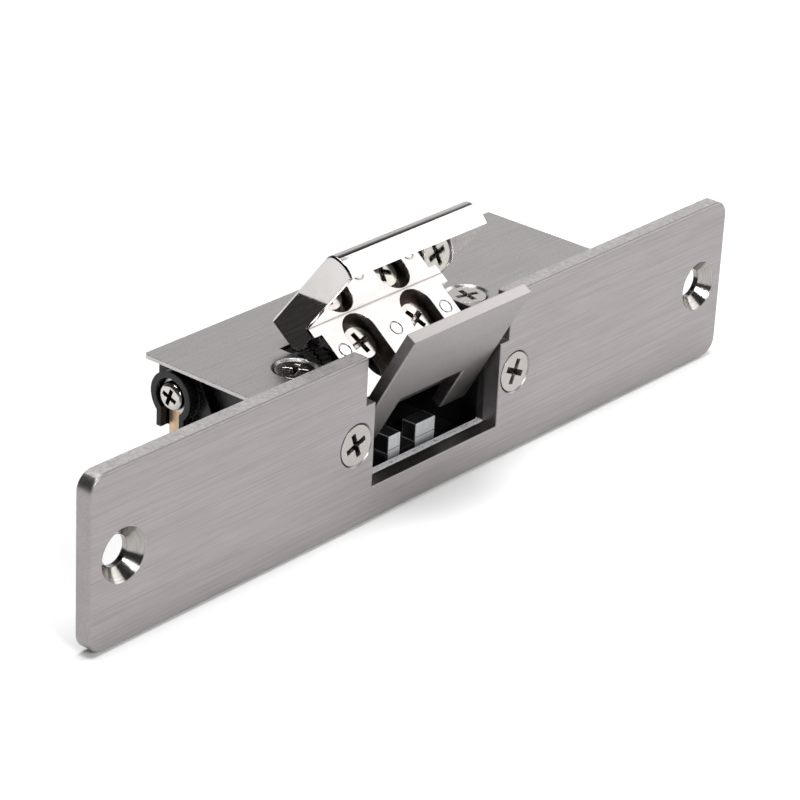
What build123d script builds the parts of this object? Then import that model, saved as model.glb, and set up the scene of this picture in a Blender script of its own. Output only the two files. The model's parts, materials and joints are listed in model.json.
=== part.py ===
from build123d import *
import math
import os

# Electric door strike, flush faceplate type with a swinging adjustable keeper.
# Millimetres. The origin is midway between the two mounting holes, on the rear face of the faceplate.
# +X runs along the faceplate, -Y points out of its front face and +Z points to its open notched edge.

# ---- faceplate -------------------------------------------------------------------------------------
plate_length = 160.0
plate_height = 30.0
plate_thickness = 3.0
plate_corner = 3.0
plate_edge_r = 0.5
notch_edge = 0.12
mount_spacing = 146.0
mount_hole_r = 2.65
mount_sink_r = 4.65
body_screw_x = 20.3
body_screw_hole_r = 2.05
body_screw_sink_r = 3.95
notch_half = 16.0
notch_bottom = -8.9
upper_notch_half = 18.2
upper_notch_bottom = 6.4

# ---- housing and cover -----------------------------------------------------------------------------
housing_left = -31.0
housing_right = 52.0
housing_rear = 28.6
housing_bottom = -14.5
wall = 1.5
floor_top = -12.8
cavity_half = 18.0
cavity_rear = 21.2
cover_top = 10.0
cover_gauge = 0.7
cover_under = cover_top - cover_gauge
cover_left = -35.3
cover_right = 53.0
cover_rear = 30.3
cover_notch_rear = 16.4
cover_screw_x = 21.8
cover_screw_y = 9.5
cover_screw_head_r = 3.3
cover_sink_r = 3.9
boss_depth = 13.0
boss_right = 25.4
boss_bottom = -3.2

# ---- keeper, drawn swung open ----------------------------------------------------------------------
# Keeper section axes: a runs up along the seat of the adjustable lip, b points out of that seat.
keeper_tilt = 37.3
corner_y = 11.3
corner_z = 14.75
hinge_y = 14.0
hinge_z = 7.4
hinge_pin_r = 1.2
running_gap = 0.05
lip_half = 17.1
lip_depth = 14.85
lip_thickness = 5.6
lip_bevel = 0.3
seat_half = 15.05
seat_length = 14.5
seat_thickness = 4.2
slot_x = 7.2
slot_width = 7.0
slot_top = 3.8
slot_bottom = 9.7
slot_floor = 3.4
lip_screw_x = 7.0
lip_screw_s = 5.0
kicker_splay = 8.63
kicker_half = 14.75
kicker_gauge = 2.1
kicker_length = 26.5
kicker_top = 15.47
kicker_edge = 0.15
window_half = 8.05
window_top = 16.8
carrier_top = -4.25
carrier_bottom = -6.65
barrel_r = 2.0
cheek_inner = 15.3
cheek_outer = 17.4
tooth_pitch = 1.0
tooth_height = 0.5

# ---- lock lever and solenoid -----------------------------------------------------------------------
lever_x = 23.0
lever_y = 5.5
lever_bottom = -7.0
lever_gauge = 2.5
lever_swing = 13.0
lever_pin_r = 1.0
coil_x = 34.0
coil_z = -2.5
pole_y = 8.5
core_r = 3.5
yoke_gauge = 1.5
yoke_rear = 25.5
bobbin_r = 8.0
winding_r = 7.4

# ---- floor screws: the stop bracket's, then the yoke's two -----------------------------------------
floor_screws = [(4.8, 12.0), (44.6, 12.5), (44.6, 21.5)]

# ---- terminals -------------------------------------------------------------------------------------
block_face = -33.0
shroud_face = -35.2
terminal_spots = [(24.3, 4.2), (11.5, -3.6)]
shroud_r = 4.4
shroud_wall = 1.15
leg_half = 3.0
leg_wall = 1.0
strip_drop = 7.6
wire_r = 0.6

# ---- metric screws: shank radii and the holes that they pass or grip --------------------------------
m3_r = 1.5
m3_grip_r = 1.51
m3_pass_r = 1.55
m4_r = 2.0
m4_grip_r = 2.01

tilt = math.radians(keeper_tilt)
seat_dir = Vector(0, math.cos(tilt), math.sin(tilt))
seat_normal = Vector(0, -math.sin(tilt), math.cos(tilt))
keeper_corner = Vector(0, corner_y, corner_z)
keeper_section = Plane(origin=keeper_corner, x_dir=seat_dir, z_dir=(1, 0, 0))
seat_plane = Plane(origin=keeper_corner, x_dir=(1, 0, 0), z_dir=seat_normal)
hinge_local = keeper_section.to_local_coords(Vector(0, hinge_y, hinge_z))
hinge_a = hinge_local.X
hinge_b = hinge_local.Y
splay = math.radians(kicker_splay)

os.makedirs("parts", exist_ok=True)


def save(builder, name):
    """Label a finished piece and write it as its own STEP file."""
    builder.part.label = name
    export_step(builder.part, f"parts/{name}.step")


def countersunk_screw(head_r, shank_r, length):
    """Phillips flat-head screw along -Z, the top of its head at Z = 0."""
    rim = 0.25
    cone_end = -rim - (head_r - shank_r)
    with BuildPart() as screw:
        with BuildSketch(Plane.XZ):
            with BuildLine():
                Polyline(
                    (0, 0), (head_r, 0), (head_r, -rim), (shank_r, cone_end),
                    (shank_r, 0.5 - length), (shank_r - 0.5, -length), (0, -length), (0, 0),
                )
            make_face()
        revolve(axis=Axis.Z)
        with BuildSketch():
            Rectangle(1.3 * head_r, 0.3 * head_r)
            Rectangle(0.3 * head_r, 1.3 * head_r)
        extrude(amount=-0.45 * head_r, taper=14, mode=Mode.SUBTRACT)
    return screw.part


def pan_screw(head_r, head_h, shank_r, length, crown=0.66):
    """Phillips pan-head screw along -Z from Z = 0, its head flat over the `crown` share of its radius."""
    crown_r = crown * head_r
    edge_h = 0.3 * head_h
    round_mid = (crown_r + 0.76 * (head_r - crown_r), 0.78 * head_h)
    with BuildPart() as screw:
        with BuildSketch(Plane.XZ):
            with BuildLine():
                Line((0, head_h), (crown_r, head_h))
                ThreePointArc((crown_r, head_h), round_mid, (head_r, edge_h))
                Polyline(
                    (head_r, edge_h), (head_r, 0), (shank_r, 0), (shank_r, 0.4 - length),
                    (shank_r - 0.4, -length), (0, -length), (0, head_h),
                )
            make_face()
        revolve(axis=Axis.Z)
        with BuildSketch(Plane.XY.offset(head_h)):
            Rectangle(1.25 * head_r, 0.32 * head_r)
            Rectangle(0.32 * head_r, 1.25 * head_r)
        extrude(amount=-min(0.42 * head_r, 0.75 * head_h), taper=12, mode=Mode.SUBTRACT)
    return screw.part


def torsion_spring(coil_r, wire_r, width, turns):
    """Spring wire wound about +Z from Z = 0 to Z = width."""
    with BuildPart() as spring:
        with BuildLine() as path:
            Helix(pitch=width / turns, height=width, radius=coil_r)
        with BuildSketch(Plane(origin=path.line @ 0, z_dir=path.line % 0)):
            Circle(wire_r)
        sweep(is_frenet=True)
    return spring.part


# ---- faceplate -------------------------------------------------------------------------------------
front = Plane(origin=(0, -plate_thickness, 0), x_dir=(1, 0, 0), z_dir=(0, -1, 0))
with BuildPart() as faceplate:
    with BuildSketch(front):
        RectangleRounded(plate_length, plate_height, plate_corner)
    extrude(amount=-plate_thickness)
    fillet(faceplate.faces().sort_by(Axis.Y)[0].edges(), radius=plate_edge_r)
    with BuildSketch(front):
        with BuildLine():
            top = plate_height / 2 + 1
            Polyline(
                (-upper_notch_half, top), (-upper_notch_half, upper_notch_bottom),
                (-notch_half, upper_notch_bottom), (-notch_half, notch_bottom),
                (notch_half, notch_bottom), (notch_half, upper_notch_bottom),
                (upper_notch_half, upper_notch_bottom), (upper_notch_half, top), close=True,
            )
        make_face()
    extrude(amount=-plate_thickness, mode=Mode.SUBTRACT)
    front_edges = faceplate.faces().sort_by(Axis.Y)[0].edges()
    notch_edges = front_edges.filter_by_position(Axis.X, -upper_notch_half - 0.1, upper_notch_half + 0.1)
    notch_edges = notch_edges.filter_by_position(Axis.Z, notch_bottom - 0.1, plate_height / 2 - 0.1)
    chamfer(notch_edges, length=notch_edge)
    with Locations(front):
        with Locations((-mount_spacing / 2, 0), (mount_spacing / 2, 0)):
            CounterSinkHole(mount_hole_r, mount_sink_r, counter_sink_angle=90)
        with Locations((-body_screw_x, 0), (body_screw_x, 0)):
            CounterSinkHole(body_screw_hole_r, body_screw_sink_r, counter_sink_angle=90)
save(faceplate, "faceplate")

m4_screw = countersunk_screw(head_r=3.55, shank_r=m4_r, length=11.0)
with BuildPart() as faceplate_screws:
    with Locations(front.offset(-0.1)):
        with Locations(Location((-body_screw_x, 0), 20), Location((body_screw_x, 0), 65)):
            add(m4_screw)
save(faceplate_screws, "faceplate_screws")

# ---- housing: an open-topped cast tray with the keeper bay between two compartments ----------------
depth = housing_rear
height = cover_under - housing_bottom
inner_height = cover_under - floor_top
mid_x = (housing_left + housing_right) / 2
bay_wall = 1.6
lever_slot_y = (11.0, 18.0)
lever_slot_z = (-8.0, -2.6)
with BuildPart() as housing:
    with Locations((mid_x, depth / 2, housing_bottom)):
        Box(housing_right - housing_left, depth, height, align=(Align.CENTER, Align.CENTER, Align.MIN))
    rear_corners = housing.edges().filter_by(Axis.Z).group_by(Axis.Y)[-1]
    fillet(rear_corners, radius=2.0)
    with Locations((mid_x, depth / 2, floor_top)):
        Box(
            housing_right - housing_left - 2 * wall, depth - 2 * wall, inner_height,
            align=(Align.CENTER, Align.CENTER, Align.MIN), mode=Mode.SUBTRACT,
        )
    # side walls of the keeper bay, its rear wall and the solid bosses that take the screws
    for side in (-1, 1):
        with Locations((side * (cavity_half + bay_wall / 2), wall, floor_top)):
            Box(bay_wall, cavity_rear, inner_height, align=(Align.CENTER, Align.MIN, Align.MIN))
        with Locations((side * cavity_half, wall, boss_bottom)):
            Box(
                boss_right - cavity_half, boss_depth - wall, cover_under - boss_bottom,
                align=(Align.MIN if side > 0 else Align.MAX, Align.MIN, Align.MIN),
            )
    with Locations((0, cavity_rear, floor_top)):
        Box(2 * cavity_half, wall, inner_height, align=(Align.CENTER, Align.MIN, Align.MIN))
    # pocket mouth behind the faceplate notch
    with Locations((0, -1, notch_bottom)):
        Box(2 * notch_half, wall + 2, 30, align=(Align.CENTER, Align.MIN, Align.MIN), mode=Mode.SUBTRACT)
    with Locations((0, -1, upper_notch_bottom)):
        Box(
            2 * upper_notch_half, wall + 1, 30,
            align=(Align.CENTER, Align.MIN, Align.MIN), mode=Mode.SUBTRACT,
        )
    # slot for the lock lever's nose in the right bay wall
    with Locations((cavity_half - 0.5, lever_slot_y[0], lever_slot_z[0])):
        Box(
            bay_wall + 1, lever_slot_y[1] - lever_slot_y[0], lever_slot_z[1] - lever_slot_z[0],
            align=(Align.MIN, Align.MIN, Align.MIN), mode=Mode.SUBTRACT,
        )
    # floor post of the lock lever
    with Locations((lever_x, lever_y, floor_top)):
        Cylinder(2.4, lever_bottom - 0.2 - floor_top, align=(Align.CENTER, Align.CENTER, Align.MIN))
    # holes: hinge pin, lever pin, faceplate screws, cover screws, stop and yoke screws, terminals
    with Locations(Plane(origin=(0, hinge_y, hinge_z), z_dir=(1, 0, 0))):
        Cylinder(hinge_pin_r + 0.01, 2 * (cavity_half + bay_wall) - 0.2, mode=Mode.SUBTRACT)
    with Locations((lever_x, lever_y, floor_top - 1.0)):
        Cylinder(
            lever_pin_r + 0.01, boss_bottom + 2.0 - floor_top + 1.0,
            align=(Align.CENTER, Align.CENTER, Align.MIN), mode=Mode.SUBTRACT,
        )
    with Locations(Plane(origin=(0, 0, 0), x_dir=(1, 0, 0), z_dir=(0, -1, 0))):
        with Locations((-body_screw_x, 0), (body_screw_x, 0)):
            Hole(m4_grip_r, depth=8.5)
    with Locations((-cover_screw_x, cover_screw_y, cover_under), (cover_screw_x, cover_screw_y, cover_under)):
        CounterSinkHole(m3_grip_r, cover_screw_head_r, depth=6.0, counter_sink_angle=90)
    with Locations(*[(x, y, floor_top) for x, y in floor_screws]):
        Hole(m3_grip_r, depth=1.3)
    # wire holes in the left wall
    for spot_y, spot_z in terminal_spots:
        with Locations(Plane(origin=(housing_left, spot_y, spot_z - strip_drop + 0.3), z_dir=(1, 0, 0))):
            Cylinder(wire_r + 0.2, 4 * wall, mode=Mode.SUBTRACT)
save(housing, "housing")

# ---- cover: one flat sheet notched for the keeper, with a dimple for each flat-head screw ----------
m3_flat = countersunk_screw(head_r=cover_screw_head_r, shank_r=m3_r, length=5.6)
with BuildPart() as cover:
    with BuildSketch(Plane.XY.offset(cover_under)) as cover_outline:
        with BuildLine():
            Polyline(
                (cover_left, 0), (-cavity_half, 0), (-cavity_half, cover_notch_rear),
                (cavity_half, cover_notch_rear), (cavity_half, 0), (cover_right, 0),
                (cover_right, cover_rear), (cover_left, cover_rear), close=True,
            )
        make_face()
        rear_left, rear_right = cover_outline.vertices().sort_by(Axis.Y)[-2:].sort_by(Axis.X)
        fillet(rear_left, radius=0.8)
        fillet(rear_right, radius=2.5)
    extrude(amount=cover_gauge)
    with Locations((-cover_screw_x, cover_screw_y, cover_top), (cover_screw_x, cover_screw_y, cover_top)):
        CounterSinkHole(3.0, cover_sink_r, counter_sink_angle=90)
save(cover, "cover")

with BuildPart() as cover_screws:
    with Locations((0, 0, cover_top - 0.25)):
        with Locations(
            Location((-cover_screw_x, cover_screw_y), 30), Location((cover_screw_x, cover_screw_y), 75)
        ):
            add(m3_flat)
save(cover_screws, "cover_screws")

# ---- hinge pin -------------------------------------------------------------------------------------
pin_length = 2 * (cavity_half + bay_wall) - 0.3
with BuildPart() as hinge_pin:
    with Locations(Plane(origin=(0, hinge_y, hinge_z), z_dir=(1, 0, 0))):
        Cylinder(hinge_pin_r, pin_length)
    chamfer(hinge_pin.edges().filter_by(GeomType.CIRCLE), length=0.25)
save(hinge_pin, "hinge_pin")

# ---- keeper lip: a chromed angle whose seat is slotted so that it can be set in or out -------------
shoulder = 1.78
nose_b = lip_depth
with BuildSketch() as lip_outline:
    with BuildLine():
        ThreePointArc((0, nose_b), (2.0, nose_b + 0.4), (4.3, nose_b - 0.1))
        ThreePointArc((4.3, nose_b - 0.1), (5.2, nose_b - 0.75), (lip_thickness, nose_b - 2.0))
        Polyline((lip_thickness, nose_b - 2.0), (lip_thickness, -5.6), (0, -5.6))
        ThreePointArc((0, -5.6), (-1.28, -5.07), (-shoulder, -3.8))
        Polyline((-shoulder, -3.8), (-shoulder, 0), (0, 0), (0, nose_b))
    make_face()

with BuildPart() as keeper_lip:
    for side in (-1, 1):
        with BuildSketch(keeper_section.offset(side * (lip_half - lip_bevel))):
            add(lip_outline.sketch)
        extrude(amount=-side * (lip_half - lip_bevel))
        with BuildSketch(keeper_section.offset(side * (lip_half - lip_bevel))):
            add(lip_outline.sketch)
        extrude(amount=side * lip_bevel, taper=45)
    with BuildSketch(keeper_section):
        with Locations((-seat_length / 2, -seat_thickness / 2)):
            Rectangle(seat_length, seat_thickness)
    extrude(amount=seat_half, both=True)
    for side in (-1, 1):
        with BuildSketch(seat_plane):
            with Locations((side * slot_x, -(slot_top + slot_bottom) / 2)):
                SlotCenterToCenter(slot_bottom - slot_top, slot_width, rotation=90)
        extrude(amount=-slot_floor, mode=Mode.SUBTRACT)
        with BuildSketch(seat_plane.offset(-slot_floor)):
            with Locations((side * slot_x, -(slot_top + slot_bottom) / 2)):
                SlotCenterToCenter(slot_bottom - slot_top, 3.6, rotation=90)
        extrude(amount=-(seat_thickness - slot_floor + 0.5), mode=Mode.SUBTRACT)
    # three shallow ejector marks left by the casting
    with BuildSketch(seat_plane):
        with Locations((-12.7, -5.7), (0, -5.7), (12.7, -5.7)):
            Circle(1.3)
            Circle(1.05, mode=Mode.SUBTRACT)
    extrude(amount=-0.15, mode=Mode.SUBTRACT)
save(keeper_lip, "keeper_lip")

m3_wide = pan_screw(head_r=3.2, head_h=1.5, shank_r=m3_r, length=2.9, crown=0.95)
with BuildPart() as lip_screws:
    with Locations(seat_plane.offset(-slot_floor + running_gap)):
        with Locations(
            Location((-lip_screw_x, -lip_screw_s), 10), Location((lip_screw_x, -lip_screw_s), 25)
        ):
            add(m3_wide)
save(lip_screws, "lip_screws")

# ---- kicker plate: brushed sheet with an open-ended window, the latch pushes it to close the keeper
kicker_down = keeper_section.from_local_coords(Vector(-math.sin(splay), -math.cos(splay), 0)) - keeper_corner
kicker_contact = keeper_section.from_local_coords(Vector(-seat_length - 0.1, 0, 0))
kicker_back = kicker_contact - kicker_down * kicker_top
kicker_front_normal = Vector(0, -abs(kicker_down.Z), -abs(kicker_down.Y))
kicker_origin = kicker_back + kicker_front_normal * kicker_gauge
kicker_plane = Plane(origin=kicker_origin, x_dir=(1, 0, 0), z_dir=kicker_front_normal)
with BuildPart() as kicker_plate:
    with BuildSketch(kicker_plane):
        with Locations((0, -kicker_length / 2)):
            Rectangle(2 * kicker_half, kicker_length)
        with Locations((0, -(window_top + kicker_length) / 2 - 1)):
            Rectangle(2 * window_half, kicker_length - window_top + 2, mode=Mode.SUBTRACT)
    extrude(amount=-kicker_gauge)
    kicker_face = kicker_plate.faces().sort_by(Axis(origin=(0, 0, 0), direction=kicker_front_normal))[-1]
    chamfer(kicker_face.edges(), length=kicker_edge)
save(kicker_plate, "kicker_plate")

# ---- carrier: black casting on the hinge pin that the lip, the kicker plate and the spring act on --
contact_slope = math.tan(splay)
contact_a = -seat_length - 0.1


def kicker_contact_at(b):
    """Where the kicker plate's rear face crosses a given b in the keeper section."""
    return (contact_a + contact_slope * b, b)


carrier_end = -2.1
tail_front = -7.3
tail_back = -11.0
tail_low = -17.3
tail_high = -11.8
strip_low = -11.0
strip_top = -4.0
with BuildPart() as keeper_carrier:
    with BuildSketch(keeper_section):
        with BuildLine():
            Polyline(
                (carrier_end, carrier_top), kicker_contact_at(carrier_top),
                kicker_contact_at(carrier_bottom), (carrier_end, carrier_bottom), close=True,
            )
        make_face()
        with Locations((hinge_a, hinge_b)):
            Circle(barrel_r)
    extrude(amount=cheek_inner, both=True)
    for side in (-1, 1):
        with BuildSketch(keeper_section.offset(side * cheek_inner)):
            with BuildLine():
                Polyline(
                    (carrier_end, strip_top), (strip_low, strip_top), (strip_low, carrier_bottom),
                    (tail_high, tail_front), (tail_low, tail_front), (tail_low, tail_back),
                    (-13.0, tail_back), (hinge_a - 0.5, hinge_b - barrel_r), (carrier_end, hinge_b),
                    close=True,
                )
            make_face()
            with Locations((hinge_a, hinge_b)):
                Circle(barrel_r)
        extrude(amount=side * (cheek_outer - cheek_inner))
        # teeth along the cheek's top beside the lip's seat
        tooth_count = int((carrier_end - strip_low) / tooth_pitch)
        with BuildSketch(keeper_section.offset(side * cheek_inner)):
            for tooth in range(tooth_count):
                tooth_a = carrier_end - 0.45 - tooth * tooth_pitch
                with BuildLine():
                    Polyline(
                        (tooth_a + 0.45, strip_top - 0.1), (tooth_a, strip_top + tooth_height),
                        (tooth_a - 0.45, strip_top - 0.1), close=True,
                    )
                make_face()
        extrude(amount=side * (cheek_outer - cheek_inner))
    with Locations(Plane(origin=(0, hinge_y, hinge_z), z_dir=(1, 0, 0))):
        Cylinder(hinge_pin_r + running_gap, 2 * cheek_outer + 2, mode=Mode.SUBTRACT)
        Cylinder(2.6, 10.0, mode=Mode.SUBTRACT)
    with Locations(seat_plane.offset(carrier_top)):
        with Locations((-lip_screw_x, -lip_screw_s), (lip_screw_x, -lip_screw_s)):
            Hole(m3_grip_r + 0.01, depth=2.0)
save(keeper_carrier, "keeper_carrier")

# ---- torsion spring round the hinge pin, pushing the keeper open -----------------------------------
spring_r = 1.75
spring_wire = 0.22
spring_half = 4.4
with BuildPart() as keeper_spring:
    with Locations(Plane(origin=(-spring_half, hinge_y, hinge_z), x_dir=(0, 1, 0), z_dir=(1, 0, 0))):
        add(torsion_spring(spring_r, spring_wire, 2 * spring_half, 8))
save(keeper_spring, "keeper_spring")

# ---- stop bracket: two steel blocks on a foot that the closed kicker plate comes down on -----------
stop_front = 6.2
stop_depth = 3.0
stop_top = -8.25
stop_foot = 1.2
with BuildPart() as stop_bracket:
    with Locations((4.8, stop_front, floor_top)):
        Box(13.6, 8.6, stop_foot, align=(Align.CENTER, Align.MIN, Align.MIN))
    for block_x, block_w in ((0.3, 3.0), (8.3, 5.0)):
        with Locations((block_x, stop_front, floor_top)):
            Box(block_w, stop_depth, stop_top - floor_top, align=(Align.CENTER, Align.MIN, Align.MIN))
    with Locations((*floor_screws[0], floor_top + stop_foot)):
        Hole(m3_pass_r, depth=stop_foot)
save(stop_bracket, "stop_bracket")

m3_short = pan_screw(head_r=2.6, head_h=1.4, shank_r=m3_r, length=2.4)
with BuildPart() as stop_screw:
    with Locations((*floor_screws[0], floor_top + stop_foot)):
        add(m3_short)
save(stop_screw, "stop_screw")

# ---- lock lever: a bell crank drawn in its energised attitude and turned back to rest --------------
lever_frame = Plane(
    origin=(lever_x, lever_y, lever_bottom),
    x_dir=(math.cos(math.radians(lever_swing)), -math.sin(math.radians(lever_swing)), 0), z_dir=(0, 0, 1),
)
armature_gauge = 1.4
armature_front = 1.4
rivet_r = 0.8
rivet_hole_r = 0.82
rivet_plane = Plane(
    origin=lever_frame.from_local_coords((9, armature_front, lever_gauge / 2)), z_dir=lever_frame.y_dir
)
with BuildPart() as lock_lever:
    with BuildSketch(lever_frame):
        with BuildLine():
            Polyline(
                (-2.4, -1.2), (-2.4, 7.4), (-6.9, 7.4), (-6.9, 9.9), (0.8, 9.9), (2.4, 2.4),
                (5.0, armature_front - 0.02), (12.0, armature_front - 0.02), (12.0, -0.1), (2.2, -2.2),
                (-1.4, -2.2), close=True,
            )
        make_face()
    extrude(amount=lever_gauge)
    with Locations(lever_frame):
        Cylinder(lever_pin_r + 0.06, 4 * lever_gauge, mode=Mode.SUBTRACT)
    with Locations(rivet_plane):
        Cylinder(rivet_hole_r, 2.4, align=(Align.CENTER, Align.CENTER, Align.MAX), mode=Mode.SUBTRACT)
save(lock_lever, "lock_lever")

armature_mid = coil_z - lever_bottom
with BuildPart() as armature_plate:
    with Locations(lever_frame):
        with Locations((coil_x - lever_x, armature_front + armature_gauge / 2, armature_mid)):
            Box(12.0, armature_gauge, 12.0)
            corners = armature_plate.edges().filter_by(lambda e: abs(e.length - armature_gauge) < 0.01)
            chamfer(corners, length=1.0)
    with Locations(rivet_plane):
        Cylinder(rivet_hole_r, 6, mode=Mode.SUBTRACT)
save(armature_plate, "armature_plate")

with BuildPart() as armature_rivet:
    with Locations(rivet_plane):
        Cylinder(rivet_r, 2.2, align=(Align.CENTER, Align.CENTER, Align.MAX))
        Cylinder(rivet_r, armature_gauge - 0.2, align=(Align.CENTER, Align.CENTER, Align.MIN))
save(armature_rivet, "armature_rivet")

with BuildPart() as lever_pin:
    with Locations((lever_x, lever_y, floor_top - 0.9)):
        Cylinder(
            lever_pin_r, boss_bottom + 1.7 - floor_top + 0.9, align=(Align.CENTER, Align.CENTER, Align.MIN)
        )
    chamfer(lever_pin.edges().filter_by(GeomType.CIRCLE), length=0.2)
save(lever_pin, "lever_pin")

with BuildPart() as lever_spring:
    with Locations((lever_x, lever_y, lever_bottom + lever_gauge + 0.25)):
        add(torsion_spring(1.5, 0.15, 0.8, 2))
save(lever_spring, "lever_spring")

# ---- solenoid: yoke bracket, core, bobbin and winding ----------------------------------------------
yoke_left = coil_x - 6.0
yoke_right = coil_x + 13.5
yoke_top = coil_z + bobbin_r - 1.0
yoke_front = pole_y + 1.0
with BuildPart() as solenoid_yoke:
    with Locations((yoke_left, yoke_front, floor_top)):
        Box(
            yoke_right - yoke_left, yoke_rear - yoke_front, yoke_gauge,
            align=(Align.MIN, Align.MIN, Align.MIN),
        )
    with Locations((coil_x, yoke_rear, floor_top)):
        Box(12.0, yoke_gauge, yoke_top - floor_top, align=(Align.CENTER, Align.MAX, Align.MIN))
    with Locations(Plane(origin=(coil_x, yoke_rear, coil_z), z_dir=(0, 1, 0))):
        Cylinder(2.5, 4 * yoke_gauge, mode=Mode.SUBTRACT)
    with Locations(*[(x, y, floor_top + yoke_gauge) for x, y in floor_screws[1:]]):
        Hole(m3_pass_r, depth=yoke_gauge)
save(solenoid_yoke, "solenoid_yoke")

with BuildPart() as yoke_screws:
    with Locations(*[(x, y, floor_top + yoke_gauge) for x, y in floor_screws[1:]]):
        add(m3_short)
save(yoke_screws, "yoke_screws")

coil_axis = Plane(origin=(coil_x, pole_y, coil_z), x_dir=(1, 0, 0), z_dir=(0, 1, 0))
core_length = yoke_rear - yoke_gauge - pole_y
with BuildPart() as solenoid_core:
    with Locations(coil_axis):
        Cylinder(core_r, core_length, align=(Align.CENTER, Align.CENTER, Align.MIN))
        Cylinder(2.48, core_length + yoke_gauge, align=(Align.CENTER, Align.CENTER, Align.MIN))
save(solenoid_core, "solenoid_core")

flange = 1.0
bobbin_start = 0.7
bobbin_end = core_length - 0.1
with BuildPart() as coil_bobbin:
    with Locations(coil_axis.offset(bobbin_start)):
        Cylinder(bobbin_r, flange, align=(Align.CENTER, Align.CENTER, Align.MIN))
        Cylinder(4.4, bobbin_end - bobbin_start, align=(Align.CENTER, Align.CENTER, Align.MIN))
    with Locations(coil_axis.offset(bobbin_end - flange)):
        Cylinder(bobbin_r, flange, align=(Align.CENTER, Align.CENTER, Align.MIN))
    with Locations(coil_axis):
        Cylinder(core_r + 0.06, 60, mode=Mode.SUBTRACT)
save(coil_bobbin, "coil_bobbin")

with BuildPart() as coil_winding:
    with Locations(coil_axis.offset(bobbin_start + flange + 0.02)):
        length = bobbin_end - bobbin_start - 2 * flange - 0.04
        Cylinder(winding_r, length, align=(Align.CENTER, Align.CENTER, Align.MIN))
        Cylinder(4.42, length, align=(Align.CENTER, Align.CENTER, Align.MIN), mode=Mode.SUBTRACT)
save(coil_winding, "coil_winding")

# ---- terminals on the left end: moulded block with a shroud round each screw ------------------------
# Shroud section axes: the plane looks along +X, its x runs to the rear (+Y) and its y up.
block_plane = Plane(origin=(housing_left, 0, 0), x_dir=(0, 1, 0), z_dir=(1, 0, 0))
leg_drop = 6.0
block_rear = 29.0
block_screw_y = 22.4
block_screw_z = -9.0
strip_width = 3.2
strip_gauge = 0.6
strip_rise = 2.6
screw_seat = block_face - strip_gauge - 0.35
with BuildPart() as terminal_block:
    with BuildSketch(block_plane):
        with BuildLine():
            Polyline(
                (6.6, -12.4), (25.9, -12.4), (25.9, -2.2), (block_rear, -2.2), (block_rear, 8.4),
                (20.2, 8.4), (16.4, 1.6), (6.6, 1.6), close=True,
            )
        make_face()
    extrude(amount=block_face - housing_left)
    for spot_y, spot_z in terminal_spots:
        with BuildSketch(block_plane.offset(block_face - housing_left)):
            with Locations((spot_y, spot_z)):
                Circle(shroud_r)
                with Locations((0, -leg_drop / 2)):
                    Rectangle(2 * leg_half, leg_drop)
                Circle(shroud_r - shroud_wall, mode=Mode.SUBTRACT)
                with Locations((0, -leg_drop / 2 - 0.5)):
                    Rectangle(2 * (leg_half - leg_wall), leg_drop + 1, mode=Mode.SUBTRACT)
        extrude(amount=shroud_face - block_face)
        with Locations(Plane(origin=(block_face, spot_y, spot_z), z_dir=(-1, 0, 0))):
            Hole(m3_pass_r, depth=1.9)
        # slot that the strip's bent tail goes through
        with Locations((block_face + 1.0, spot_y, spot_z - strip_drop + strip_gauge / 2)):
            Box(3.0, strip_width + 0.2, strip_gauge + 0.2, mode=Mode.SUBTRACT)
    with Locations(Plane(origin=(block_face, block_screw_y, block_screw_z), z_dir=(-1, 0, 0))):
        Hole(m3_pass_r, depth=2.5)
save(terminal_block, "terminal_block")

with BuildPart() as terminal_strips:
    for spot_y, spot_z in terminal_spots:
        with Locations((block_face, spot_y, spot_z + strip_rise)):
            Box(
                strip_gauge, strip_width, strip_rise + strip_drop,
                align=(Align.MAX, Align.CENTER, Align.MAX),
            )
        with Locations((block_face - strip_gauge, spot_y, spot_z - strip_drop)):
            Box(strip_gauge + 1.9, strip_width, strip_gauge, align=(Align.MIN, Align.CENTER, Align.MIN))
        with Locations(Plane(origin=(block_face - strip_gauge, spot_y, spot_z), z_dir=(-1, 0, 0))):
            Hole(m3_grip_r + 0.01, depth=strip_gauge)
save(terminal_strips, "terminal_strips")

with BuildPart() as terminal_washers:
    for spot_y, spot_z in terminal_spots:
        with Locations(Plane(origin=(block_face - strip_gauge, spot_y, spot_z), z_dir=(-1, 0, 0))):
            Cylinder(2.9, 0.35, align=(Align.CENTER, Align.CENTER, Align.MIN))
            Cylinder(m3_grip_r + 0.01, 2, mode=Mode.SUBTRACT)
save(terminal_washers, "terminal_washers")

terminal_screw = pan_screw(head_r=2.5, head_h=1.5, shank_r=m3_r, length=2.7)
with BuildPart() as terminal_screws:
    for spot_y, spot_z in terminal_spots:
        with Locations(Plane(origin=(screw_seat, spot_y, spot_z), x_dir=(0, 0.94, 0.34), z_dir=(-1, 0, 0))):
            add(terminal_screw)
save(terminal_screws, "terminal_screws")

with BuildPart() as terminal_block_screw:
    with Locations(Plane(origin=(block_face, block_screw_y, block_screw_z), z_dir=(-1, 0, 0))):
        add(pan_screw(head_r=2.5, head_h=1.5, shank_r=m3_r, length=1.95))
save(terminal_block_screw, "terminal_block_screw")

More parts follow.
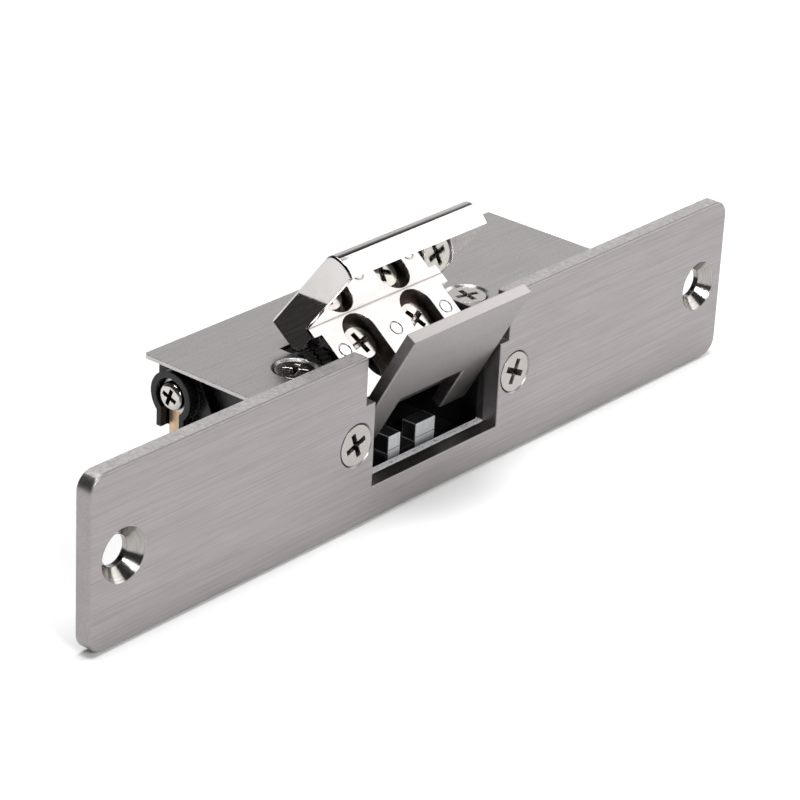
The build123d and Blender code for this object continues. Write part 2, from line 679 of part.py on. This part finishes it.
# ---- lead wires: from the terminals along the passage behind the keeper bay to the coil ------------
with BuildPart() as lead_wires:
    for index, (spot_y, spot_z) in enumerate(terminal_spots):
        run_z = -4.0 - 3.0 * index
        start = (housing_left, spot_y, spot_z - strip_drop + strip_gauge / 2)
        with BuildLine():
            route = FilletPolyline(
                start, (-26.0, spot_y, start[2]), (-24.0, 24.6, run_z), (22.5, 24.6, run_z),
                (25.4, 23.4, run_z), radius=1.5,
            )
        with BuildSketch(Plane(origin=route @ 0, z_dir=route % 0)):
            Circle(wire_r)
        sweep()
save(lead_wires, "lead_wires")
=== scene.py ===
import json
import math

import bpy
from mathutils import Matrix, Vector


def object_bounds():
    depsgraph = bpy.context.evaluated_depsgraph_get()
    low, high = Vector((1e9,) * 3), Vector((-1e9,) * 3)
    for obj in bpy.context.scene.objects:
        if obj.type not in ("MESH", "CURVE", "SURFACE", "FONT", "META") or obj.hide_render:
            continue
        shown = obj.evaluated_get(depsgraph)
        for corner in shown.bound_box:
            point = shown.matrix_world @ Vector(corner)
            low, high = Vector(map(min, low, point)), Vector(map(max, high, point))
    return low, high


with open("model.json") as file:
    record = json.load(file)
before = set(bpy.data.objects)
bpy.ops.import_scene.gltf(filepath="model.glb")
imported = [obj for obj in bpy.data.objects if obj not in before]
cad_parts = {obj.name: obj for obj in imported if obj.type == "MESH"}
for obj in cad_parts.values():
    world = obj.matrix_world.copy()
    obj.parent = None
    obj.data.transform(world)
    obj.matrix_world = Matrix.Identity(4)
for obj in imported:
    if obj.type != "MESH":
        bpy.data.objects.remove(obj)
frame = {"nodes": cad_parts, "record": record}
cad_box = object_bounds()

nodes = frame["nodes"]
scene = bpy.context.scene
scene.view_settings.view_transform = "Standard"

# ---- camera: a long lens on the strike's left front, level with a slight roll ----------------------
SENSOR = 36.0
LENS = 147.3
CAMERA_AZIMUTH = -50.62
CAMERA_ELEVATION = 25.48
CAMERA_DISTANCE = 0.5414
CAMERA_ROLL = 2.94
CAMERA_AIM = Vector((-0.00249, 0.00313, 0.00014))


def add_camera():
    """The camera looks at CAMERA_AIM from the photograph's side."""
    azimuth = math.radians(CAMERA_AZIMUTH)
    elevation = math.radians(CAMERA_ELEVATION)
    ahead = Vector((-math.sin(azimuth) * math.cos(elevation), math.cos(azimuth) * math.cos(elevation),
                    -math.sin(elevation)))
    data = bpy.data.cameras.new("camera")
    data.sensor_width = SENSOR
    data.lens = LENS
    data.clip_start = 0.01
    camera = bpy.data.objects.new("camera", data)
    scene.collection.objects.link(camera)
    turn = ahead.to_track_quat("-Z", "Y").to_matrix() @ Matrix.Rotation(math.radians(CAMERA_ROLL), 3, "Z")
    camera.matrix_world = Matrix.Translation(CAMERA_AIM - ahead * CAMERA_DISTANCE) @ turn.to_4x4()
    scene.camera = camera


add_camera()


# ---- places that the materials need, in metres, each in the strike's own frame -----------------------
HOLE_X = 0.073  # the mounting holes lie this far left and right of the middle
SINK_RADIUS = 0.0047
PLATE_TOP = 0.015
TOP_EDGE_DEPTH = 0.0004
NOTCH_BOTTOM = -0.0089
# the keeper's seat: its tilt at rest, its directions and its front upper corner
KEEPER_TILT = math.radians(37.3)
SEAT_UP = (0.0, math.cos(KEEPER_TILT), math.sin(KEEPER_TILT))
SEAT_NORMAL = (0.0, -math.sin(KEEPER_TILT), math.cos(KEEPER_TILT))
CORNER = Vector((0.0, 0.0113, 0.01475))
SEAT_HEIGHT = CORNER.dot(Vector(SEAT_NORMAL))
SEAT_CORNER = CORNER.dot(Vector(SEAT_UP))
SEAT_SKIN = 0.0002
SLOTS_REACH = 0.0124
# the bare strip along the pocket's lower front edge
LEDGE_FRONT = -0.001
LEDGE_DEPTH = 0.0016
LEDGE_TOLERANCE = 0.0003
LEDGE_LINES = ((0.0001, 0.0005), (0.00115, LEDGE_DEPTH))
# the two stop blocks: their foot, their joint line and where they lie along X
STOP_FOOT_TOP = -0.0116
STOP_SEAM = -0.0108
STOP_SEAM_HALF = 0.00006
STOP_BLOCKS = ((-0.0012, 0.0018), (0.0058, 0.0108))
# how wide the sharp edges are that get a rounded normal and a painted highlight
BRUSHED_EDGE = 0.00022
PLATED_EDGE = 0.00012


# ---- node helpers ----------------------------------------------------------------------------------
class Shader:
    """A material under construction: one Principled shader and the nodes that feed it."""

    def __init__(self, name):
        self.material = bpy.data.materials.new(name)
        self.material.use_nodes = True
        self.tree = self.material.node_tree
        self.shader = self.tree.nodes["Principled BSDF"]
        self.place = self.add("ShaderNodeTexCoord").outputs["Object"]

    def add(self, kind, **settings):
        node = self.tree.nodes.new(kind)
        for key, value in settings.items():
            setattr(node, key, value)
        return node

    def link(self, out, into):
        self.tree.links.new(out, into)

    def set(self, **values):
        for key, value in values.items():
            self.shader.inputs[key.replace("_", " ")].default_value = value

    def stretch(self, scale, rotation=(0, 0, 0)):
        """The object's own coordinates, turned and then scaled, for a grain that runs one way."""
        turned = self.add("ShaderNodeMapping", vector_type="POINT")
        turned.inputs["Rotation"].default_value = rotation
        scaled = self.add("ShaderNodeMapping", vector_type="POINT")
        scaled.inputs["Scale"].default_value = scale
        self.link(self.place, turned.inputs["Vector"])
        self.link(turned.outputs["Vector"], scaled.inputs["Vector"])
        return scaled.outputs["Vector"]

    def noise(self, where, scale=1.0, detail=4.0, rough=0.6):
        node = self.add("ShaderNodeTexNoise")
        node.inputs["Scale"].default_value = scale
        node.inputs["Detail"].default_value = detail
        node.inputs["Roughness"].default_value = rough
        self.link(where, node.inputs["Vector"])
        return node.outputs["Fac"]

    def ramp(self, value, *stops):
        node = self.add("ShaderNodeValToRGB")
        elements = node.color_ramp.elements
        while len(elements) < len(stops):
            elements.new(0.5)
        for element, (position, colour) in zip(elements, stops):
            element.position = position
            element.color = (*colour, 1.0) if len(colour) == 3 else colour
        self.link(value, node.inputs["Fac"])
        return node.outputs["Color"]

    def between(self, value, low, high, start=0.0, end=1.0):
        node = self.add("ShaderNodeMapRange")
        node.inputs["From Min"].default_value = start
        node.inputs["From Max"].default_value = end
        node.inputs["To Min"].default_value = low
        node.inputs["To Max"].default_value = high
        self.link(value, node.inputs["Value"])
        return node.outputs["Result"]

    def mix(self, factor, a, b):
        node = self.add("ShaderNodeMix", data_type="RGBA")
        self.link(factor, node.inputs["Factor"])
        for value, into in ((a, node.inputs["A"]), (b, node.inputs["B"])):
            if isinstance(value, tuple):
                into.default_value = (*value, 1.0)
            else:
                self.link(value, into)
        return node.outputs["Result"]

    def edges(self, radius):
        """1 along sharp edges and 0 on flat faces, with the rounded normal that goes with it."""
        rounded = self.add("ShaderNodeBevel", samples=4)
        rounded.inputs["Radius"].default_value = radius
        flat = self.add("ShaderNodeNewGeometry")
        dot = self.add("ShaderNodeVectorMath", operation="DOT_PRODUCT")
        self.link(rounded.outputs["Normal"], dot.inputs[0])
        self.link(flat.outputs["Normal"], dot.inputs[1])
        return self.between(dot.outputs["Value"], 1.0, 0.0, 0.82, 0.995), rounded.outputs["Normal"]

    def cavity(self, distance):
        """0 in the open and 1 deep in a recess, from ambient occlusion; the materials mix darker colours
        in by it as painted shade.
        """
        node = self.add("ShaderNodeAmbientOcclusion", samples=6)
        node.inputs["Distance"].default_value = distance
        return self.between(node.outputs["AO"], 1.0, 0.0, 0.15, 0.85)

    def axis(self, name):
        """One of the object's own coordinates, in metres."""
        node = self.add("ShaderNodeSeparateXYZ")
        self.link(self.place, node.inputs[0])
        return node.outputs[name]

    def facing(self, name):
        """How far the surface faces along one of the object's own axes, from -1 to 1."""
        node = self.add("ShaderNodeSeparateXYZ")
        self.link(self.add("ShaderNodeTexCoord").outputs["Normal"], node.inputs[0])
        return node.outputs[name]

    def band(self, value, low, high):
        """1 where the value lies between two numbers and 0 elsewhere."""
        above = self.math("GREATER_THAN", value, low)
        return self.math("MULTIPLY", above, self.math("LESS_THAN", value, high))

    def bands(self, value, pair):
        """1 where the value lies in either of two bands."""
        return self.math("MAXIMUM", self.band(value, *pair[0]), self.band(value, *pair[1]))

    def along(self, direction):
        """The distance from the origin along a direction, in metres."""
        node = self.add("ShaderNodeVectorMath", operation="DOT_PRODUCT")
        self.link(self.place, node.inputs[0])
        node.inputs[1].default_value = direction
        return node.outputs["Value"]

    def absolute(self, value):
        return self.math("ABSOLUTE", value, 0.0)

    def finish(self, colour, roughness):
        """Feeds the shader its colour and roughness and returns the material."""
        self.link(colour, self.shader.inputs["Base Color"])
        self.link(roughness, self.shader.inputs["Roughness"])
        return self.material

    def math(self, operation, a, b):
        node = self.add("ShaderNodeMath", operation=operation)
        for value, into in ((a, node.inputs[0]), (b, node.inputs[1])):
            if isinstance(value, (int, float)):
                into.default_value = value
            else:
                self.link(value, into)
        return node.outputs[0]

    def bump(self, height, strength, distance, normal=None):
        node = self.add("ShaderNodeBump")
        node.inputs["Strength"].default_value = strength
        node.inputs["Distance"].default_value = distance
        self.link(height, node.inputs["Height"])
        if normal is not None:
            self.link(normal, node.inputs["Normal"])
        self.link(node.outputs["Normal"], self.shader.inputs["Normal"])


def scaled(colour, share):
    """A colour times a share, no channel over 1."""
    return tuple(min(1.0, channel * share) for channel in colour)


def brushed(s, dark, light, roughness, rotation=(0, 0, 0), grain=(70.0, 5200.0, 5200.0), edge_highlight=0.6):
    """Stainless sheet brushed along the X of the turned coordinates, with a painted highlight along sharp
    edges.
    """
    fine = s.noise(s.stretch(grain, rotation), detail=5.0, rough=0.75)
    streak = s.noise(s.stretch((45.0, 2100.0, 2100.0), rotation), detail=5.0, rough=0.75)
    cloud = s.noise(s.stretch((60.0, 190.0, 190.0)), detail=4.0)
    colour = s.ramp(fine, (0.28, dark), (0.72, light))
    colour = s.mix(s.between(streak, 0.0, 0.55, 0.45, 0.72), colour, light)
    colour = s.mix(s.between(streak, 0.5, 0.0, 0.28, 0.47), colour, dark)
    colour = s.mix(s.between(cloud, 0.0, 0.35, 0.42, 0.75), colour, dark)
    mask, normal = s.edges(BRUSHED_EDGE)
    # painted highlight: sharp edges are painted lighter than the sheet
    colour = s.mix(s.between(mask, 0.0, edge_highlight), colour, scaled(light, 1.3))
    gloss = s.between(fine, roughness - 0.06, roughness + 0.12, 0.3, 0.7)
    s.set(Metallic=1.0)
    s.bump(fine, 0.35, 0.00002, normal)
    return colour, s.math("ADD", gloss, s.between(mask, 0.0, 0.16))


def faceplate_steel():
    """The brushed faceplate, whose countersinks and holes are turned bright, with painted shade deep in
    them and a painted highlight on its top face.
    """
    s = Shader("faceplate_brushed")
    colour, gloss = brushed(s, (0.24, 0.222, 0.222), (0.365, 0.337, 0.337), 0.34, edge_highlight=0.2)
    turned = None
    for side in (-1, 1):
        offset = s.absolute(s.math("SUBTRACT", s.axis("X"), side * HOLE_X))
        squares = s.math("ADD", s.math("POWER", offset, 2.0), s.math("POWER", s.axis("Z"), 2.0))
        reach = s.math("SQRT", squares, 0.0)
        inside = s.math("LESS_THAN", reach, SINK_RADIUS)
        turned = inside if turned is None else s.math("MAXIMUM", turned, inside)
    rings = s.noise(s.stretch((300.0, 9000.0, 300.0)), detail=3.0)
    bright = s.ramp(rings, (0.3, (0.26, 0.245, 0.235)), (0.7, (0.38, 0.36, 0.34)))
    # painted shade: the countersinks and holes darken to near black in their depths
    bright = s.mix(s.cavity(0.004), bright, (0.04, 0.033, 0.028))
    # painted highlight: the upward-facing top edge is painted paler than the front, as a lit face, and it
    # is also made rougher as frosted
    frost = s.noise(s.stretch((1500.0, 1500.0, 1500.0)), detail=4.0, rough=0.7)
    pale = s.ramp(frost, (0.3, (0.40, 0.375, 0.37)), (0.7, (0.64, 0.61, 0.60)))
    lit_top_face = s.between(s.absolute(s.facing("Y")), 1.0, 0.0, 0.55, 0.98)
    lit_top_face = s.math("MULTIPLY", lit_top_face, s.math("GREATER_THAN", s.axis("Z"), PLATE_TOP - TOP_EDGE_DEPTH))
    colour = s.mix(lit_top_face, colour, pale)
    # painted shade: the rounded front corner of the top edge is painted as dark as the front, so that it
    # is no brighter than the front
    corner = s.math("MULTIPLY", s.band(s.absolute(s.facing("Y")), 0.12, 0.97), lit_top_face)
    colour = s.mix(corner, colour, (0.24, 0.225, 0.222))
    gloss = s.math("ADD", gloss, s.math("MULTIPLY", lit_top_face, 0.14))
    return s.finish(s.mix(turned, colour, bright),
                    s.math("SUBTRACT", gloss, s.math("MULTIPLY", turned, 0.24)))


def sheet_steel(name, dark, light, roughness, **layout):
    """Brushed sheet, for the cover and the kicker plate, with a painted highlight on its upward-sloping
    front edges and painted shade in recesses.
    """
    s = Shader(name)
    colour, gloss = brushed(s, dark, light, roughness, **layout)
    # painted highlight: faces that slope upward at the front are painted lighter
    top_edge_highlight = s.math("MULTIPLY", s.band(s.facing("Z"), 0.3, 0.96), s.math("LESS_THAN", s.axis("Y"), 0.0))
    colour = s.mix(top_edge_highlight, colour, scaled(light, 1.25))
    # painted shade: the sheet darkens towards a dark colour in recesses
    return s.finish(s.mix(s.between(s.cavity(0.002), 0.0, 0.7), colour, scaled(dark, 0.25)), gloss)


def plated(s, colour, roughness, recess, depth=0.0012):
    """Bright plate with a faint orange peel and wiping marks, with painted shade in recesses and a painted
    highlight along sharp edges.
    """
    peel = s.noise(s.stretch((900.0, 900.0, 900.0)), detail=2.0)
    wipe = s.noise(s.stretch((160.0, 2600.0, 900.0), (0.5, 0.2, 0.4)), detail=3.0)
    cloud = s.noise(s.stretch((120.0, 120.0, 120.0)), detail=2.0)
    speck = s.noise(s.stretch((2600.0, 2600.0, 2600.0)), detail=2.0)
    mask, normal = s.edges(PLATED_EDGE)
    shade = s.mix(s.between(cloud, 0.0, 1.0, 0.35, 0.7), colour, scaled(colour, 0.88))
    shade = s.mix(s.between(speck, 0.0, 0.5, 0.66, 0.74), shade, scaled(colour, 0.5))
    # painted shade: the plate darkens towards the recess colour in recesses
    shade = s.mix(s.cavity(depth), shade, recess)
    s.set(Metallic=1.0)
    s.bump(peel, 0.06, 0.00001, normal)
    gloss = s.between(wipe, roughness, roughness + 0.05, 0.4, 0.7)
    # painted highlight: sharp edges are painted pale
    return s.mix(s.between(mask, 0.0, 0.6), shade, (0.85, 0.83, 0.80)), gloss


def plated_screw(name, colour, roughness, recess):
    s = Shader(name)
    return s.finish(*plated(s, colour, roughness, recess))


def chrome_lip():
    """Mirror chrome, with the two slots in the seat left thinly plated, dull and brownish, and painted
    shade in their recesses.
    """
    s = Shader("chrome")
    shade, gloss = plated(s, (0.575, 0.555, 0.545), 0.03, (0.10, 0.085, 0.08), 0.0006)
    below = s.math("LESS_THAN", s.along(SEAT_NORMAL), SEAT_HEIGHT - SEAT_SKIN)
    ahead = s.math("LESS_THAN", s.along(SEAT_UP), SEAT_CORNER - SEAT_SKIN)
    within = s.math("LESS_THAN", s.absolute(s.axis("X")), SLOTS_REACH)
    slot = s.math("MULTIPLY", s.math("MULTIPLY", below, ahead), within)
    cast = s.noise(s.stretch((1400.0, 1400.0, 1400.0)), detail=4.0)
    dull = s.ramp(cast, (0.3, (0.24, 0.21, 0.19)), (0.75, (0.46, 0.42, 0.39)))
    # painted shade: the slot walls darken in their recesses
    dull = s.mix(s.cavity(0.003), dull, (0.22, 0.19, 0.17))
    return s.finish(s.mix(slot, shade, dull), s.math("ADD", gloss, s.math("MULTIPLY", slot, 0.28)))


def coated(s):
    """Satin black coating with fine texture; its sharp edges are painted lighter grey as a highlight."""
    grain = s.noise(s.stretch((2400.0, 2400.0, 2400.0)), detail=4.0)
    patch = s.noise(s.stretch((180.0, 180.0, 180.0)), detail=3.0)
    mask, normal = s.edges(0.0002)
    colour = s.ramp(patch, (0.3, (0.010, 0.010, 0.011)), (0.8, (0.024, 0.024, 0.026)))
    s.bump(grain, 0.25, 0.00004, normal)
    gloss = s.between(grain, 0.32, 0.5, 0.3, 0.7)
    # painted highlight: sharp edges are painted lighter grey
    return s.mix(s.between(mask, 0.0, 0.35), colour, (0.16, 0.16, 0.165)), gloss


def black_housing():
    """Satin black casting, its front flange ground bright where the faceplate lies on it."""
    s = Shader("black_housing")
    colour, gloss = coated(s)
    level = s.band(s.axis("Z"), NOTCH_BOTTOM - LEDGE_TOLERANCE, NOTCH_BOTTOM + LEDGE_TOLERANCE)
    ledge = s.math("MULTIPLY", s.band(s.axis("Y"), LEDGE_FRONT, LEDGE_DEPTH), level)
    pits = s.noise(s.stretch((1400.0, 4200.0, 4200.0)), detail=4.0, rough=0.7)
    bare = s.ramp(pits, (0.36, (0.10, 0.10, 0.105)), (0.47, (0.90, 0.89, 0.92)))
    bare = s.mix(s.bands(s.axis("Y"), LEDGE_LINES), bare, (0.95, 0.94, 0.96))
    return s.finish(s.mix(ledge, colour, bare), gloss)


def black_coating(name):
    s = Shader(name)
    return s.finish(*coated(s))


def black_plastic(name):
    """Glossy moulded black plastic."""
    s = Shader(name)
    grain = s.noise(s.stretch((1500.0, 1500.0, 1500.0)), detail=3.0)
    mask, normal = s.edges(0.0003)
    s.set(Specular_IOR_Level=0.3)
    s.bump(grain, 0.08, 0.00003, normal)
    # painted highlight: sharp edges are painted a little lighter than the black
    return s.finish(s.mix(mask, (0.007, 0.007, 0.008), (0.03, 0.03, 0.033)),
                    s.between(grain, 0.16, 0.3, 0.3, 0.7))


def brass(name):
    """Stamped brass strip with rolling lines and slight tarnish."""
    s = Shader(name)
    lines = s.noise(s.stretch((3500.0, 3500.0, 120.0)), detail=4.0)
    tarnish = s.noise(s.stretch((400.0, 400.0, 400.0)), detail=4.0)
    colour = s.ramp(tarnish, (0.3, (0.50, 0.34, 0.21)), (0.75, (0.68, 0.50, 0.35)))
    mask, normal = s.edges(0.0001)
    s.set(Metallic=1.0)
    s.bump(lines, 0.15, 0.00001, normal)
    # painted highlight: sharp edges are painted bright pale brass
    return s.finish(s.mix(mask, colour, (0.92, 0.78, 0.58)), s.between(lines, 0.26, 0.45, 0.3, 0.7))


def machined(name, colour, roughness, grain=(900.0, 900.0, 3800.0)):
    """Ground or drawn steel with short tool marks."""
    s = Shader(name)
    marks = s.noise(s.stretch(grain), detail=4.0)
    cloud = s.noise(s.stretch((260.0, 260.0, 260.0)), detail=3.0)
    mask, normal = s.edges(0.00015)
    shade = s.mix(s.between(cloud, 0.0, 1.0, 0.3, 0.75), colour, scaled(colour, 0.82))
    s.set(Metallic=1.0)
    s.bump(marks, 0.2, 0.00001, normal)
    # painted highlight: sharp edges are painted near white
    return s.finish(s.mix(mask, shade, (0.93, 0.93, 0.94)),
                    s.between(marks, roughness - 0.06, roughness + 0.1, 0.3, 0.7))


def stop_steel():
    """Two blocks with a dark joint line; their front faces are painted bright as lit faces, their tops and
    foot are painted near black as shade, and their edges above the foot carry a painted white highlight.
    """
    s = Shader("stop_blocks")
    marks = s.noise(s.stretch((5200.0, 900.0, 700.0)), detail=4.0, rough=0.7)
    bright = s.ramp(marks, (0.35, (0.74, 0.76, 0.80)), (0.62, (0.97, 0.98, 1.0)))
    seam = s.band(s.axis("Z"), STOP_SEAM - STOP_SEAM_HALF, STOP_SEAM + STOP_SEAM_HALF)
    bright = s.mix(seam, bright, (0.08, 0.08, 0.09))
    front = s.math("LESS_THAN", s.facing("Y"), -0.7)
    front = s.math("MULTIPLY", front, s.bands(s.axis("X"), STOP_BLOCKS))
    mask, normal = s.edges(0.0003)
    # painted highlight: the edges above the foot are painted white
    rim_highlight = s.math("MULTIPLY", mask, s.math("GREATER_THAN", s.axis("Z"), STOP_FOOT_TOP))
    # painted light and shade: the front faces are painted bright, and everything else is painted near
    # black
    colour = s.mix(front, (0.022, 0.022, 0.025), bright)
    s.bump(marks, 0.2, 0.00001, normal)
    return s.finish(s.mix(rim_highlight, colour, (1.0, 1.0, 1.0)), s.between(marks, 0.28, 0.45, 0.3, 0.7))


def moulded(name, dark, light, roughness):
    """Plain moulded plastic, tape or insulation with a slightly uneven colour."""
    s = Shader(name)
    grain = s.noise(s.stretch((1300.0, 1300.0, 1300.0)), detail=3.0)
    patch = s.noise(s.stretch((220.0, 220.0, 220.0)), detail=3.0)
    mask, normal = s.edges(0.00015)
    colour = s.ramp(patch, (0.3, dark), (0.75, light))
    s.bump(grain, 0.1, 0.00003, normal)
    # painted highlight: sharp edges are painted lighter than the plastic
    return s.finish(s.mix(s.between(mask, 0.0, 0.3), colour, scaled(light, 1.4)),
                    s.between(grain, roughness - 0.08, roughness + 0.08, 0.3, 0.7))


MATERIALS = {
    "faceplate": faceplate_steel(),
    "cover_sheet": sheet_steel("cover_brushed", (0.37, 0.352, 0.35), (0.54, 0.515, 0.51), 0.25),
    "kicker": sheet_steel("kicker_brushed", (0.225, 0.21, 0.208), (0.345, 0.322, 0.318), 0.32,
                          rotation=(0, 0, math.radians(90)), grain=(120.0, 4200.0, 4200.0)),
    "chrome_lip": chrome_lip(),
    "plated_screws": plated_screw("nickel", (0.60, 0.575, 0.54), 0.16, (0.07, 0.052, 0.045)),
    "black_casting": black_coating("black_coating"),
    "black_plastic": black_plastic("black_plastic"),
    "brass": brass("brass"),
    "machined_steel": machined("machined_steel", (0.72, 0.72, 0.74), 0.24),
    "zinc_steel": machined("zinc_steel", (0.60, 0.62, 0.64), 0.34, (1400.0, 1400.0, 1400.0)),
    "spring_steel": machined("spring_steel", (0.36, 0.36, 0.37), 0.3, (2500.0, 2500.0, 2500.0)),
    "bobbin_plastic": moulded("bobbin_plastic", (0.60, 0.56, 0.46), (0.72, 0.69, 0.60), 0.45),
    "winding": moulded("winding_tape", (0.42, 0.16, 0.05), (0.55, 0.24, 0.08), 0.35),
    "wire_insulation": moulded("wire_insulation", (0.40, 0.03, 0.03), (0.55, 0.06, 0.05), 0.35),
}
NODE_MATERIALS = {
    "housing": black_housing(),
    "faceplate_screws": plated_screw("satin_screws", (0.42, 0.39, 0.375), 0.24, (0.075, 0.055, 0.048)),
    "stop_bracket": stop_steel(),
}

for part in frame["record"]["subparts"]:
    thing = nodes[part["node"]]
    thing.data.materials.clear()
    thing.data.materials.append(NODE_MATERIALS.get(part["node"], MATERIALS[part["material_slot"]]))


# ---- studio ----------------------------------------------------------------------------------------
WORLD_LEFT = 0.06
WORLD_RIGHT = 0.85
WORLD_TOP = 0.08
FLOOR_HALF = 3.0
FLOOR_GAP = 0.0004
# name, place, size and power in watts; each light looks at the origin
LIGHTS = (
    ("softbox", (0.80, -0.20, 0.55), (1.0, 0.55), 3.5),
    ("overhead", (-0.05, 0.05, 1.1), (0.7, 0.7), 13.0),
    ("front", (-0.25, -0.95, 0.55), (0.4, 0.3), 6.0),
)


def flat_material(name, colour, roughness=0.9):
    s = Shader(name)
    s.set(Base_Color=(*colour, 1.0), Roughness=roughness)
    return s.material


def add_floor():
    """A large white floor just under the strike."""
    drop = cad_box[0][2] - FLOOR_GAP
    corners = [(x * FLOOR_HALF, y * FLOOR_HALF, drop) for x, y in ((-1, -1), (1, -1), (1, 1), (-1, 1))]
    mesh = bpy.data.meshes.new("floor")
    mesh.from_pydata(corners, [], [(0, 1, 2, 3)])
    floor = bpy.data.objects.new("floor", mesh)
    mesh.materials.append(flat_material("floor_white", (0.93, 0.93, 0.93)))
    scene.collection.objects.link(floor)


def add_light(name, place, size, power):
    """A rectangular area light that looks at the origin."""
    data = bpy.data.lights.new(name, "AREA")
    data.shape = "RECTANGLE"
    data.size, data.size_y = size
    data.energy = power
    light = bpy.data.objects.new(name, data)
    scene.collection.objects.link(light)
    place = Vector(place)
    light.matrix_world = Matrix.Translation(place) @ (-place).to_track_quat("-Z", "Y").to_matrix().to_4x4()


def add_world():
    """A pale studio: bright low on the right, shaded on the left and overhead."""
    world = bpy.data.worlds.new("studio")
    scene.world = world
    world.use_nodes = True
    tree = world.node_tree
    direction = tree.nodes.new("ShaderNodeTexCoord").outputs["Generated"]
    split = tree.nodes.new("ShaderNodeSeparateXYZ")
    tree.links.new(direction, split.inputs[0])

    def graded(value, start, end, low, high):
        node = tree.nodes.new("ShaderNodeMapRange")
        node.interpolation_type = "SMOOTHSTEP"
        for socket, number in (("From Min", start), ("From Max", end), ("To Min", low), ("To Max", high)):
            node.inputs[socket].default_value = number
        tree.links.new(value, node.inputs["Value"])
        return node.outputs["Result"]

    sideways = graded(split.outputs["X"], -0.35, 0.35, WORLD_LEFT, WORLD_RIGHT)
    upward = graded(split.outputs["Z"], 0.50, 0.64, 1.0, WORLD_TOP)
    product = tree.nodes.new("ShaderNodeMath")
    product.operation = "MULTIPLY"
    tree.links.new(sideways, product.inputs[0])
    tree.links.new(upward, product.inputs[1])
    background = tree.nodes["Background"]
    background.inputs["Color"].default_value = (1.0, 1.0, 1.0, 1.0)
    tree.links.new(product.outputs[0], background.inputs["Strength"])


add_floor()
add_world()
for light_row in LIGHTS:
    add_light(*light_row)
